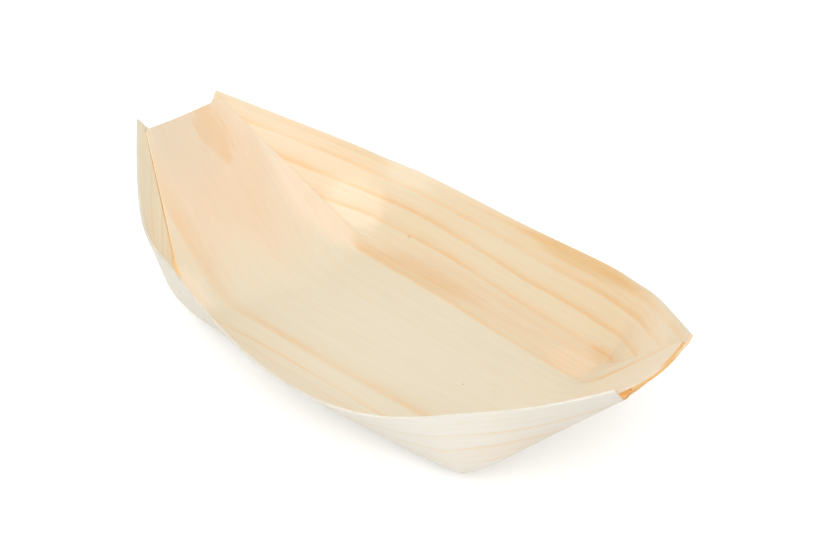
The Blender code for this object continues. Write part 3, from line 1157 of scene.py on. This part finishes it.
# Painted light, for faces that the lamp leaves darker.
PAINTED_LIGHT: Colour = (1.07, 1.06, 1.06)
# Painted fill light, for shadowed corners.
PAINTED_FILL_LIGHT: Colour = (1.10, 1.04, 1.035)
# Painted shade.
PAINTED_SHADE: Colour = (0.94, 0.945, 0.96)
COOL: Colour = (0.945, 0.985, 1.02)

INSIDE_BLOTCHES = (
    # Painted warm bounce light on the left ramp, as pink and warm tints.
    Blotch((-68.0, 1.5), (23.0, 13.0), PINK, 0.82, 0.6, 0.5),
    Blotch((-60.0, 0.0), (22.0, 20.0), PAINTED_WARM_LIGHT, 0.35, 0.6, 0.3),
    Blotch((-75.5, 4.2), (9.5, 3.0), TAN, 0.56, 0.26, 1.0),
    Blotch((-76.0, -4.0), (11.0, 8.0), COOL, 1.0, 0.5, 0.4),
    # Painted warm bounce light on the near part of the left ramp.
    Blotch((-57.0, -13.5), (14.0, 4.0), PINK, 0.40, 0.6, 0.5),
    Blotch((-63.0, 14.5), (16.0, 2.2), PALE, 0.70, 0.7, 0.4),
    Blotch((-66.4, 8.8), (0.8, 0.3), PALE, 1.0, 0.4, 0.3),
    # Painted fill light along the left ramp's far edge.
    Blotch((-53.0, 16.0), (10.0, 3.6), PAINTED_FILL_LIGHT, 0.9, 0.5, 0.3),
    Blotch((-43.0, 20.0), (6.0, 3.4), PAINTED_FILL_LIGHT, 1.0, 0.5, 0.3),
    # Painted fill light in the shadowed far-right corner, where the wall meets the floor.
    Blotch((31.0, 21.0), (7.0, 3.5), PAINTED_FILL_LIGHT, 0.8, 0.5, 0.3),
    # Painted light on the right ramp and on the inside of the near wall.
    Blotch((60.0, -2.0), (30.0, 24.0), PAINTED_LIGHT, 1.0, 0.5, 0.2),
    Blotch((-5.0, -30.0), (60.0, 14.0), PAINTED_LIGHT, 0.8, 0.4, 0.2),
    Blotch((-2.0, -36.0), (24.0, 8.0), PALE, 0.7, 0.5, 0.3),
    # Painted highlight and painted warm light on the left ramp, by the near-left slit corner.
    Blotch((-43.5, -20.8), (6.0, 3.4), PAINTED_HIGHLIGHT, 0.80, 0.5, 0.3),
    Blotch((-44.0, -21.5), (5.0, 2.4), PAINTED_WARM_LIGHT, 0.40, 0.6, 0.3),
    Blotch((66.0, 4.0), (17.0, 11.0), PINK, 0.35, 0.6, 0.6),
    Blotch((52.0, 12.6), (8.0, 1.8), TAN, 0.35, 0.6, 0.8),
    Blotch((14.0, 33.0), (52.0, 13.0), HONEY, 0.75, 0.45, 0.5),
    Blotch((4.0, 24.5), (42.0, 3.4), PINK, 0.40, 0.6, 0.5),
    # Painted warm light and painted highlights on the far wall's left end and its rim.
    Blotch((-60.0, 35.0), (22.0, 9.0), PAINTED_WARM_LIGHT, 0.90, 0.5, 0.5),
    Blotch((-42.0, 31.0), (6.5, 6.0), PAINTED_HIGHLIGHT, 1.0, 0.35, 0.3),
    Blotch((-33.0, 41.8), (6.0, 3.0), PAINTED_HIGHLIGHT, 0.6, 0.5, 0.4),
    Blotch((19.0, 42.6), (18.0, 2.5), TAN, 1.0, 0.45, 0.4),
    # Painted highlight on the far wall toward its right end.
    Blotch((54.0, 36.0), (17.0, 9.0), PAINTED_HIGHLIGHT, 0.75, 0.45, 0.3),
    Blotch((-17.0, 22.8), (16.0, 2.6), TAN, 0.45, 0.6, 0.6),
    # Painted shade at the far-right slit corner.
    Blotch((34.5, 26.4), (3.5, 1.6), TAN, 0.60, 0.6, 0.5),
    Blotch((19.6, -0.4), (0.35, 0.25), RESIN, 0.8, 0.5, 0.3),
    Blotch((-26.0, 29.4), (0.35, 0.25), RESIN, 0.8, 0.5, 0.3),
    # Painted shade on the near-left wall beside the ramp's edge.
    Blotch((-52.0, -29.0), (5.0, 2.0), TAN, 0.35, 0.7, 0.5),
)

OUTSIDE_BLOTCHES = (
    Blotch((58.0, -34.0), (24.0, 10.0), HONEY, 0.22, 0.6, 0.4),
    Blotch((42.0, -34.0), (14.0, 12.0), PALE, 0.6, 0.5, 0.3),
    # Painted shade toward the right end of the near wall's outside.
    Blotch((74.0, -36.0), (15.0, 14.0), PAINTED_SHADE, 1.0, 0.5, 0.2),
    Blotch((62.0, -32.0), (16.0, 3.0), PINK, 0.40, 0.7, 0.5),
    Blotch((-55.0, 6.0), (20.0, 10.0), PINK, 0.35, 0.7, 0.6),
    Blotch((20.0, 28.0), (40.0, 4.0), PINK, 0.35, 0.7, 0.6),
)


class SheetGrain:
    """The figure of the wood as it lies on the flat sheet, in millimetres."""

    # The lines of the grain drift across the sheet toward the right end, and swirl on the right ramp.
    DRIFT = ((-43.4, 0.0), (-27.0, -1.0), (-20.0, -1.0), (-13.0, -1.4), (-5.0, -0.3), (5.0, 0.3),
             (12.0, 1.6), (19.0, 3.3), (26.0, 3.5), (32.0, 3.2), (37.5, 2.0), (42.0, 0.5), (43.4, 0.0))
    DRIFT_BOUNDS = (-2.0, 4.0)
    DRIFT_ALONG = Span(-40.0, 44.0)
    SWIRL_NEAR = Span(4.0, 11.0)
    SWIRL_FAR = Span(23.0, 20.0)
    SWIRL_ALONG = Span(31.0, 52.0, 0.0, 7.0)
    # Each wave of the lines has a depth.
    WAVES = ((Texture(34.0, 11.0, 3.7, 1.5), 1.8), (Texture(9.0, 3.0, 8.1, 2.0), 0.45))
    # The latewood is stronger in some places than in others, and faint along the left ramp's far edge.
    PATCHES = Texture(22.0, 5.0, 6.3, 2.0)
    PATCH_LEVELS = Span(0.3, 0.65, 0.45, 1.15)
    FAINT_NEAR = Span(12.0, 16.0)
    FAINT_FAR = Span(27.0, 25.0)
    FAINT_ALONG = Span(-34.5, -39.5, 0.0, 0.85)
    FINE_FIBRES = Texture(7.0, 0.22, 1.3, 3.0, 0.6)
    COARSE_FIBRES = Texture(26.0, 1.1, 5.9, 3.0, 0.55)
    DASHES = Texture(2.6, 0.16, 11.4, 1.0)
    DASH_LEVELS = Span(0.68, 0.80)
    # A flap lies between its slit and a crease that climbs from the flap's root.
    FLAP_ROOT = 41.0
    FLAP_SLOPE = 0.385
    FLAP_CREASE = Span(0.9, 0.0)
    FLAP_START = Span(3.0, 9.0)
    FLAP_SLIT = Span(-0.2, 0.0)
    SLIT_REACH = Span(1.5, 1.0)
    SLIT_STOP = Span(-0.2, -0.6)

    def __init__(self, graph: Graph, sizes: SheetSizes) -> None:
        """Read the flat position from the UV map and bend the grain's lines.

        Args:
            graph: The material's nodes.
            sizes: The sizes of the sheet.
        """
        self.graph = graph
        self.sizes = sizes
        source = graph.nodes.new("ShaderNodeUVMap")
        source.uv_map = VeneerSheet.MAP
        parts = graph.nodes.new("ShaderNodeSeparateXYZ")
        graph.put(parts.inputs["Vector"], source.outputs["UV"])
        self.u = graph.times(graph.minus(parts.outputs["X"], 0.5), sizes.length)
        self.v = graph.times(graph.minus(parts.outputs["Y"], 0.5), 2 * sizes.half_width)
        self.grain = self.lines()

    def past_end(self) -> bpy.types.NodeSocket:
        """Return how far a point lies past the nearer end of the sheet, below 0 on the sheet."""
        return self.graph.minus(self.graph.unsigned(self.u), self.sizes.half_length)

    def past_slit(self) -> bpy.types.NodeSocket:
        """Return how far out from the nearer line of slits a point lies, below 0 on the floor."""
        return self.graph.minus(self.graph.unsigned(self.v), self.sizes.half_floor)

    def noise(self, texture: Texture) -> bpy.types.NodeSocket:
        """Return a noise around 0.5 that is laid out on the flat sheet."""
        u = self.graph.times(self.u, 1 / texture.along)
        v = self.graph.times(self.v, 1 / texture.across)
        return self.graph.noise(self.graph.joined(u, v, texture.seed), texture.detail, texture.roughness)

    def lines(self) -> bpy.types.NodeSocket:
        """Return the place across the sheet of the growth line through each point.

        Returns:
            The distance in millimetres, equal along one line of the grain.
        """
        graph = self.graph
        drift = graph.curve(self.v, *self.DRIFT_BOUNDS, self.DRIFT)
        place = graph.plus(self.v, graph.times(drift, graph.ramped(self.u, self.DRIFT_ALONG)))
        swirl = graph.times(graph.ramped(self.v, self.SWIRL_NEAR), graph.ramped(self.v, self.SWIRL_FAR))
        place = graph.plus(place, graph.times(swirl, graph.ramped(self.u, self.SWIRL_ALONG)))
        for wave, depth in self.WAVES:
            place = graph.plus(place, graph.times(graph.minus(self.noise(wave), 0.5), depth))
        return place

    def latewood(self, bands: Sequence[Band]) -> bpy.types.NodeSocket:
        """Return how much latewood there is at each point.

        Args:
            bands: The lines of latewood.

        Returns:
            The amount, 0 for none.
        """
        graph = self.graph
        total: Input = 0.0
        for band in bands:
            after = graph.plus(graph.ramped(self.grain, band.core()), graph.ramped(self.grain, band.halo()))
            total = graph.plus(graph.times(graph.ramped(self.grain, band.onset()), after), total)
        strip = graph.times(graph.ramped(self.v, self.FAINT_NEAR), graph.ramped(self.v, self.FAINT_FAR))
        faint = graph.times(strip, graph.ramped(self.u, self.FAINT_ALONG))
        patchy = graph.ramped(self.noise(self.PATCHES), self.PATCH_LEVELS)
        return graph.times(total, graph.times(patchy, graph.minus(1.0, faint)))

    def patch(self, blotch: Blotch) -> bpy.types.NodeSocket:
        """Return how strongly a blotch shows at each point.

        Args:
            blotch: The blotch.

        Returns:
            The amount, up to the blotch's own strength.
        """
        graph = self.graph
        x = graph.times(graph.minus(self.u, blotch.place[0]), 1 / blotch.size[0])
        y = graph.times(graph.minus(self.v, blotch.place[1]), 1 / blotch.size[1])
        away = graph.maths("SQRT", graph.plus(graph.times(x, x), graph.times(y, y)))
        uneven = graph.minus(self.noise(blotch.outline()), 0.5)
        return graph.ramped(graph.plus(away, graph.times(uneven, 2 * blotch.wobble)), blotch.fade())

    def fibres(self) -> bpy.types.NodeSocket:
        """Return the fine streaks of the fibres, around 0.5."""
        both = self.graph.plus(self.noise(self.FINE_FIBRES), self.noise(self.COARSE_FIBRES))
        return self.graph.times(both, 0.5)

    def dashes(self) -> bpy.types.NodeSocket:
        """Return short dark dashes along the grain, from 0 to 1."""
        return self.graph.ramped(self.noise(self.DASHES), self.DASH_LEVELS)

    def flaps(self) -> bpy.types.NodeSocket:
        """Return 1 on the four flaps that are folded in behind the ramps, and 0 elsewhere.

        Returns:
            The amount, which is 0 at the roots of the flaps too.
        """
        graph = self.graph
        along = graph.minus(graph.unsigned(self.u), self.FLAP_ROOT)
        across = self.past_slit()
        past_crease = graph.minus(across, graph.times(along, self.FLAP_SLOPE))
        inside = graph.ramped(past_crease, self.FLAP_CREASE)
        inside = graph.times(inside, graph.ramped(along, self.FLAP_START))
        return graph.times(inside, graph.ramped(across, self.FLAP_SLIT))

    def slits(self) -> bpy.types.NodeSocket:
        """Return 1 on the cut edges along the slits, and 0 on the rims and the ends of the sheet."""
        beside = self.graph.ramped(self.past_slit(), self.SLIT_REACH)
        return self.graph.times(beside, self.graph.ramped(self.past_end(), self.SLIT_STOP))


@dataclass(frozen=True)
class PineFinish:
    """A planed face of pine veneer: pale earlywood, lines of latewood and soft tints, some of which are
    painted light and shade, and painted light on the flaps as emission.
    """

    LATE_LEVELS = Span(0.25, 0.65, 0.7, 1.15)
    GREEN_POWER = 1.25
    BLUE_POWER = 1.7

    name: str
    earlywood: Colour
    latewood: Colour
    band_strength: float
    bands: Tuple[Band, ...]
    blotches: Tuple[Blotch, ...]
    streak_strength: float = 0.02
    dash_colour: Colour = (0.80, 0.60, 0.38)
    dash_strength: float = 0.16
    dash_depth: float = 0.5
    roughness: float = 0.58
    roughness_change: float = 0.06
    bump_strength: float = 0.35
    bump_depth: float = 0.03
    # Painted light on the flaps, as emission, and its colour.
    painted_glow: float = 0.0
    painted_glow_colour: Colour = (1.0, 0.52, 0.15)

    def material(self, sizes: SheetSizes) -> bpy.types.Material:
        """Return the material.

        Args:
            sizes: The sizes of the sheet that the grain lies on.

        Returns:
            The finished material.
        """
        graph = Graph(self.name)
        grain = SheetGrain(graph, sizes)
        fibres, dashes = grain.fibres(), grain.dashes()
        late = graph.times(grain.latewood(self.bands), self.band_strength)
        late = graph.times(late, graph.ramped(fibres, self.LATE_LEVELS))
        colour = graph.mixed(late, self.earlywood, self.latewood)
        for blotch in self.blotches:
            colour = graph.tinted(colour, blotch.tint, grain.patch(blotch))
        shift = graph.ramped(fibres, Span.of_noise(1 - self.streak_strength, 1 + self.streak_strength))
        green = graph.maths("POWER", shift, self.GREEN_POWER)
        blue = graph.maths("POWER", shift, self.BLUE_POWER)
        colour = graph.tinted(colour, graph.joined(shift, green, blue))
        colour = graph.tinted(colour, self.dash_colour, graph.times(dashes, self.dash_strength))
        smooth, dull = self.roughness - self.roughness_change, self.roughness + self.roughness_change
        rough = graph.ramped(fibres, Span.of_noise(smooth, dull))
        height = graph.minus(fibres, graph.times(dashes, self.dash_depth))
        # Painted light on the flaps behind the ramps, as emission that stands in for light through the thin
        # wood.
        if self.painted_glow > 0:
            graph.painted_glow(self.painted_glow_colour, graph.times(grain.flaps(), self.painted_glow))
        return graph.shade(colour, rough, graph.bump(height, self.bump_strength, self.bump_depth))


@dataclass(frozen=True)
class CutFinish:
    """The cut edge of the veneer: pale along the grain, tan with fine pores across it, with painted shade
    on the near rim and painted light along the slits.
    """

    # End grain shows where the sheet ends, less on the walls and least on the near part of the ramps.
    AT_END = Span(-0.4, -0.1)
    WALL_END = Span(15.0, 13.0, 0.55, 1.0)
    ON_RAMP = Span(-1.0, -2.0)
    NEAR_PART = Span(5.0, 0.0)
    # The rim of the near wall carries painted shade, except toward its right end.
    RIM_START = 1.0
    RIM_FULL = 0.5
    RIM_ALONG = Span(35.0, 5.0)
    FLUFF = Texture(2.4, 0.35, 2.2, 3.0, 0.6)
    FLUFF_LEVELS = Span.of_noise(0.95, 1.04)
    GLOW_CHANGE = 1.0

    name: str
    along_grain: Colour
    end_grain: Colour
    late_strength: float = 0.5
    ramp_share: float = 0.4
    rim_painted_shade: Colour = (0.88, 0.87, 0.84)
    roughness: float = 0.7
    bump_strength: float = 0.25
    bump_depth: float = 0.05
    # Painted light along the cut edges of the slits, as emission, at the left end and at the right end.
    left_painted_glow: float = 0.25
    right_painted_glow: float = 0.15
    painted_glow_colour: Colour = (1.0, 0.72, 0.40)

    def material(self, sizes: SheetSizes) -> bpy.types.Material:
        """Return the material.

        Args:
            sizes: The sizes of the sheet that the grain lies on.

        Returns:
            The finished material.
        """
        graph = Graph(self.name)
        grain = SheetGrain(graph, sizes)
        out = grain.past_slit()
        end = graph.times(graph.ramped(grain.past_end(), self.AT_END), graph.ramped(out, self.WALL_END))
        pale = graph.times(graph.ramped(out, self.ON_RAMP), graph.ramped(grain.v, self.NEAR_PART))
        end = graph.times(end, graph.ramped(pale, Span(0.0, 1.0, 1.0, self.ramp_share)))
        colour = graph.mixed(end, self.along_grain, self.end_grain)
        colour = graph.tinted(colour, TAN, graph.times(grain.latewood(BANDS), self.late_strength))
        rim = Span(self.RIM_START - sizes.half_width, self.RIM_FULL - sizes.half_width)
        painted_rim_shade = graph.times(graph.ramped(grain.v, rim), graph.ramped(grain.u, self.RIM_ALONG))
        colour = graph.tinted(colour, self.rim_painted_shade, painted_rim_shade)
        fluff = grain.noise(self.FLUFF)
        shift = graph.ramped(fluff, self.FLUFF_LEVELS)
        colour = graph.tinted(colour, graph.joined(shift, shift, shift))
        # Painted light along the cut edges of the slits, as emission that stands in for light through the
        # wood where the narrow gaps lie in shade.
        sides = Span(-self.GLOW_CHANGE, self.GLOW_CHANGE, self.left_painted_glow, self.right_painted_glow)
        graph.painted_glow(self.painted_glow_colour, graph.times(grain.slits(), graph.ramped(grain.u, sides)))
        normal = graph.bump(fluff, self.bump_strength, self.bump_depth)
        return graph.shade(colour, self.roughness, normal)


@dataclass(frozen=True)
class GlueFinish:
    """Dried amber glue with small bubbles."""

    CLOUD_DETAIL = 3.0
    CLOUD_ROUGHNESS = 0.6
    DEEP_LEVELS = Span(0.35, 0.7)
    ROUGH_LEVELS = Span.of_noise(0.25, 0.45)

    name: str
    colour: Colour
    deep: Colour
    bubble_size: float = 0.9
    bump_strength: float = 0.3
    bump_depth: float = 0.05

    def material(self) -> bpy.types.Material:
        """Return the material."""
        graph = Graph(self.name)
        source = graph.nodes.new("ShaderNodeTexCoord")
        scaled = graph.nodes.new("ShaderNodeVectorMath")
        scaled.operation = "SCALE"
        graph.put(scaled.inputs[0], source.outputs["Object"])
        graph.put(scaled.inputs["Scale"], 1 / (self.bubble_size * MM))
        cloud = graph.noise(scaled.outputs["Vector"], self.CLOUD_DETAIL, self.CLOUD_ROUGHNESS)
        colour = graph.mixed(graph.ramped(cloud, self.DEEP_LEVELS), self.colour, self.deep)
        rough = graph.ramped(cloud, self.ROUGH_LEVELS)
        return graph.shade(colour, rough, graph.bump(cloud, self.bump_strength, self.bump_depth))


PINE_FINISHES = {
    Face.INSIDE: PineFinish(
        "pine_inside",
        earlywood=(0.83, 0.745, 0.575),
        latewood=(0.84, 0.56, 0.28),
        band_strength=0.8,
        bands=BANDS,
        blotches=INSIDE_BLOTCHES,
        # Painted light on the flaps.
        painted_glow=0.4,
    ),
    Face.OUTSIDE: PineFinish(
        "pine_outside",
        earlywood=(0.83, 0.785, 0.69),
        latewood=(0.81, 0.67, 0.45),
        band_strength=0.7,
        bands=OUTSIDE_BANDS,
        blotches=OUTSIDE_BLOTCHES,
    ),
    Face.CUT: CutFinish("pine_cut", along_grain=(0.82, 0.775, 0.67), end_grain=(0.82, 0.50, 0.21)),
}
DRIED_GLUE = GlueFinish("dried_glue", colour=(0.72, 0.50, 0.24), deep=(0.55, 0.33, 0.12))


@dataclass(frozen=True)
class GlueDabs:
    """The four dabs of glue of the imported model, which stay where they are."""

    names: Tuple[str, ...] = ("left_ramp_glue", "left_flap_glue", "right_ramp_glue", "right_flap_glue")

    def dress(self, finish: GlueFinish) -> None:
        """Give each dab the finish."""
        material = finish.material()
        for name in self.names:
            dab = bpy.data.objects[name]
            dab.data.materials.clear()
            dab.data.materials.append(material)


@dataclass(frozen=True)
class Viewpoint:
    """The camera's place, as seen from what it looks at."""

    azimuth: float = 45.87
    elevation: float = 30.83
    distance: float = 493.47
    target: Tuple[float, float, float] = (-11.81, 16.47, 5.25)
    roll: float = 0.45
    focal_pixels: float = 2292.4
    sensor: float = 36.0
    clip_start: float = 10.0

    def place(self) -> None:
        """Add the camera and make it the scene's own."""
        turn, tilt = math.radians(self.azimuth), math.radians(self.elevation)
        back = Vector((math.sin(turn) * math.cos(tilt), -math.cos(turn) * math.cos(tilt), math.sin(tilt)))
        right = UP.cross(back).normalized()
        upward = back.cross(right)
        roll = math.radians(self.roll)
        rolled = right * math.cos(roll) + upward * math.sin(roll)
        upward = upward * math.cos(roll) - right * math.sin(roll)
        spot = (Vector(self.target) + back * self.distance) * MM
        data = bpy.data.cameras.new("camera")
        data.sensor_fit = "HORIZONTAL"
        data.sensor_width = self.sensor
        data.lens = self.sensor * self.focal_pixels / IMAGE_WIDTH
        data.clip_start = self.clip_start * MM
        camera = bpy.data.objects.new("camera", data)
        axes = Matrix((rolled, upward, back)).transposed()
        camera.matrix_world = Matrix.Translation(spot) @ axes.to_4x4()
        bpy.context.scene.collection.objects.link(camera)
        bpy.context.scene.camera = camera


@dataclass(frozen=True)
class Studio:
    """A white floor, soft light and the camera."""

    floor_size: float = 6000.0
    floor_gap: float = 0.02
    floor_colour: Colour = (0.86, 0.86, 0.86)
    floor_roughness: float = 0.95
    floor_glow: float = 0.32
    sky_above: float = 0.79
    sky_around: float = 1.05
    lamp_level: float = 2.6
    lamp_size: float = 700.0
    lamp_place: Tuple[float, float, float] = (440.0, -600.0, 620.0)

    def build(self) -> None:
        """Add the floor, the lamp, the world and the camera."""
        self.floor()
        self.lamp()
        self.world()
        Viewpoint().place()

    def floor(self) -> None:
        """Add a white floor that keeps the shadow."""
        bpy.ops.object.select_all(action="DESELECT")
        below = (0.0, 0.0, -self.floor_gap * MM)
        bpy.ops.mesh.primitive_plane_add(size=self.floor_size * MM, location=below)
        floor = bpy.context.object
        floor.name = "floor"
        floor.data.materials.append(self.paper())

    def paper(self) -> bpy.types.Material:
        """Return the floor's white, which shows a little brighter to the camera than it is lit."""
        graph = Graph("floor_white")
        path = graph.nodes.new("ShaderNodeLightPath")
        seen = graph.plus(path.outputs["Is Camera Ray"], path.outputs["Is Glossy Ray"])
        seen = graph.plus(seen, path.outputs["Is Transmission Ray"])
        graph.put(graph.shader.inputs["Base Color"], (*self.floor_colour, 1.0))
        graph.put(graph.shader.inputs["Roughness"], self.floor_roughness)
        graph.put(graph.shader.inputs["Emission Color"], (1.0, 1.0, 1.0, 1.0))
        graph.put(graph.shader.inputs["Emission Strength"], graph.times(seen, self.floor_glow))
        return graph.material

    def lamp(self) -> None:
        """Add one large soft lamp."""
        data = bpy.data.lights.new("soft_lamp", "AREA")
        data.size = self.lamp_size * MM
        data.energy = self.lamp_level
        lamp = bpy.data.objects.new("soft_lamp", data)
        spot = Vector(self.lamp_place) * MM
        lamp.matrix_world = Matrix.Translation(spot) @ spot.to_track_quat("Z", "Y").to_matrix().to_4x4()
        bpy.context.scene.collection.objects.link(lamp)

    def world(self) -> None:
        """Light the scene softly from all around, a little more from the sides than from above."""
        world = bpy.data.worlds.new("studio")
        world.use_nodes = True
        nodes, links = world.node_tree.nodes, world.node_tree.links
        source = nodes.new("ShaderNodeTexCoord")
        parts = nodes.new("ShaderNodeSeparateXYZ")
        level = nodes.new("ShaderNodeMapRange")
        level.inputs["To Min"].default_value = self.sky_around
        level.inputs["To Max"].default_value = self.sky_above
        back = nodes["Background"]
        back.inputs["Color"].default_value = (1.0, 1.0, 1.0, 1.0)
        links.new(source.outputs["Generated"], parts.inputs["Vector"])
        links.new(parts.outputs["Z"], level.inputs["Value"])
        links.new(level.outputs["Result"], back.inputs["Strength"])
        bpy.context.scene.world = world
        bpy.context.scene.view_settings.view_transform = "Standard"


def main() -> None:
    """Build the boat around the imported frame, and the studio around the boat."""
    logging.basicConfig(level=logging.INFO, format="%(message)s")
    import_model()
    sizes = SheetSizes()
    veneer = VeneerSheet(Fold(sizes, CORNERS))
    sheet = veneer.build()
    veneer.dress(sheet, {face: finish.material(sizes) for face, finish in PINE_FINISHES.items()})
    LOG.info("%s: %d faces", sheet.name, len(sheet.data.polygons))
    dabs = GlueDabs()
    dabs.dress(DRIED_GLUE)
    LOG.info("glue: %d dabs", len(dabs.names))
    Studio().build()


if __name__ == "__main__":
    main()
